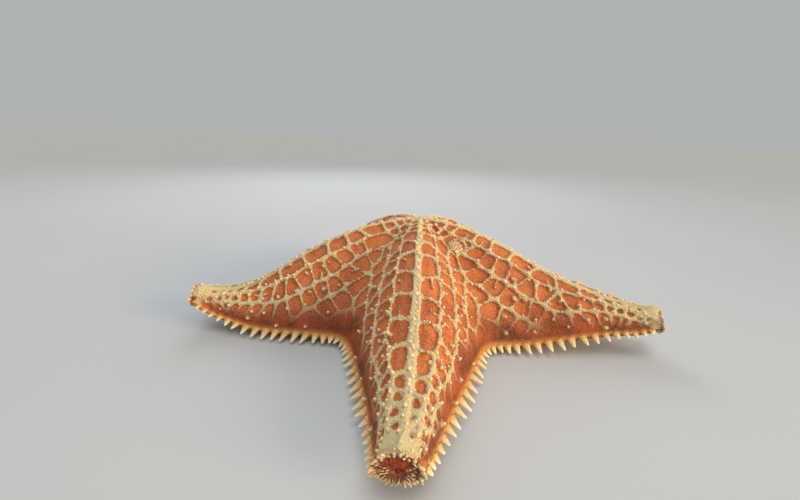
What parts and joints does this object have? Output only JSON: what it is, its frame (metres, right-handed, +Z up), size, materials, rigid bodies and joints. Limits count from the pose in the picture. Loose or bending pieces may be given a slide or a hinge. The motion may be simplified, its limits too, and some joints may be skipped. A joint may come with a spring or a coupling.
{
  "type": "cushion sea star",
  "caption": "Still, life-size model of a cushion sea star: domed disc, tapering arms with upturned tips, a fringe of edge spines, and mouth and grooves below.",
  "frame": {"origin": "on the floor, in the middle of the model's own bounding box", "axes": "+Z up; the front arm points towards -Y"},
  "size_m": [0.266, 0.2698, 0.0633],
  "materials": {
    "skin": "granular orange-red skin with a raised cream network",
    "mouth_frame": "cream to tan granular plates",
    "sieve_plate": "chalky cream plate with fine winding furrows",
    "eyespot": "wet dark red"
  },
  "bodies": {
    "root": {"disc": "skin", "mouth": "mouth_frame", "madreporite": "sieve_plate", "arm_front": "skin", "arm_right": "skin", "arm_back_right": "skin", "arm_back_left": "skin", "arm_left": "skin", "eyespot_front": "eyespot", "eyespot_right": "eyespot", "eyespot_back_right": "eyespot", "eyespot_back_left": "eyespot", "eyespot_left": "eyespot"}
  },
  "joints": []
}
